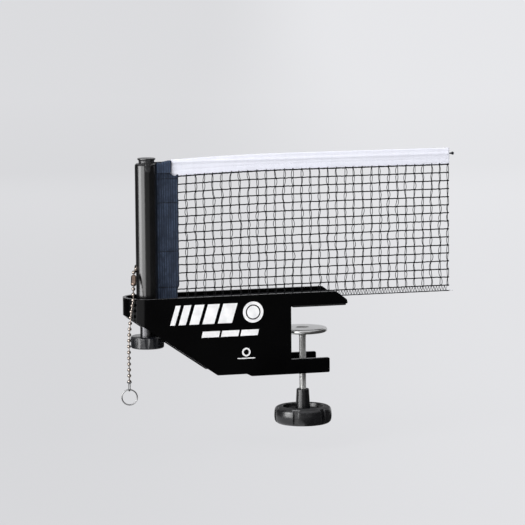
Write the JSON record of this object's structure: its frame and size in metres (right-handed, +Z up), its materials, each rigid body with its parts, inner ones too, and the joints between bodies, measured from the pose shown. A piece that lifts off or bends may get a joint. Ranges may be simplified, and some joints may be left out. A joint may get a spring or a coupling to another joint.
{
  "type": "table tennis net clamp",
  "caption": "Screw clamp for a table tennis net: folded steel bracket, height-adjustable post, star knob and pressure disc, ball chain, and the near end of the net.",
  "frame": {"origin": "on the clamp screw's axis, in the plane of the table's top face, which is the underside of the upper jaw's pad", "axes": "+X along the net towards the middle of the table, +Y away from the side that faces the player shown, +Z up"},
  "size_m": [0.3552, 0.0582, 0.2733],
  "materials": {
    "black_coat": "smooth semi-gloss powder coat",
    "pad_rubber": "matt moulded rubber",
    "zinc_steel": "bright zinc plating",
    "bright_zinc": "polished bright plating",
    "guide_plastic": "moulded acetal",
    "knob_plastic": "satin moulded plastic",
    "height_knob_plastic": "glossy moulded plastic",
    "brass": "turned brass",
    "post_enamel": "glossy black enamel",
    "cap_plastic": "satin moulded plastic",
    "nylon": "drawn nylon rod",
    "navy_weave": "ribbed woven webbing",
    "white_tape": "white cotton tape, stitched",
    "net_thread": "knitted charcoal thread",
    "hem_weave": "knitted charcoal hem",
    "white_cord": "braided polyester cord",
    "dark_cord": "braided polyester cord, dark",
    "nickel": "nickel-plated steel",
    "coupling_brass": "stamped brass, nickel flashed"
  },
  "bodies": {
    "bracket_body": {"bracket": "black_coat", "jaw_plate": "black_coat", "jaw_pad": "pad_rubber", "lower_bridge": "black_coat", "clamp_nut": "zinc_steel", "post_guide": "guide_plastic", "bearing_plate": "black_coat", "guide_screws": "black_coat"},
    "disc_body": {"pressure_disc": "bright_zinc"},
    "screw_body": {"clamp_screw": "bright_zinc", "disc_washer": "zinc_steel", "star_knob": "knob_plastic", "knob_insert": "brass"},
    "spindle_body": {"height_spindle": "bright_zinc", "thrust_washer": "zinc_steel", "spindle_clip": "zinc_steel", "height_knob": "height_knob_plastic", "knob_screw": "zinc_steel"},
    "post_body": {"post_tube": "post_enamel", "spindle_nut": "brass", "post_cap": "cap_plastic", "sleeve_rod": "nylon", "net_sleeve": "navy_weave", "tape_end": "navy_weave", "net_tape": "white_tape", "net_mesh": "net_thread", "net_hem": "hem_weave", "hem_cord": "white_cord", "tension_cord": "dark_cord", "cord_clasp": "nickel", "chain_eyelet": "nickel", "chain_short": "nickel", "chain_coupling": "coupling_brass", "chain_drape": "nickel"},
    "chain_body": {"chain_fall": "nickel", "ring_link": "nickel"},
    "ring_body": {"pull_ring": "nickel"}
  },
  "joints": [
    {"name": "clamp_travel", "type": "slide", "parent": "bracket_body", "child": "disc_body", "axis": [0, 0, 1], "range_m": [-0.0235, 0.018]},
    {"name": "screw_turn", "type": "hinge", "parent": "disc_body", "child": "screw_body", "pos_m": [0, 0, -0.11], "axis": [0, 0, 1], "range_deg": [-6769, 5185]},
    {"name": "height_turn", "type": "hinge", "parent": "bracket_body", "child": "spindle_body", "pos_m": [-0.161, 0, -0.03], "axis": [0, 0, 1], "range_deg": [-901, 361]},
    {"name": "post_height", "type": "slide", "parent": "bracket_body", "child": "post_body", "axis": [0, 0, 1], "range_m": [-0.002, 0.005]},
    {"name": "chain_swing", "type": "hinge", "parent": "post_body", "child": "chain_body", "pos_m": [-0.17966, -0.01853, 0.014], "axis": [-0.7046, 0.7096, 0], "range_deg": [0, 40]},
    {"name": "ring_swing", "type": "hinge", "parent": "chain_body", "child": "ring_body", "pos_m": [-0.18466, -0.01853, -0.07485], "axis": [0.9563, -0.2924, 0], "range_deg": [-60, 60]}
  ],
  "couplings": [
    {"joint": "screw_turn", "follows": "clamp_travel", "rad_per_m": 5026.5},
    {"joint": "height_turn", "follows": "post_height", "rad_per_m": -3141.6}
  ]
}
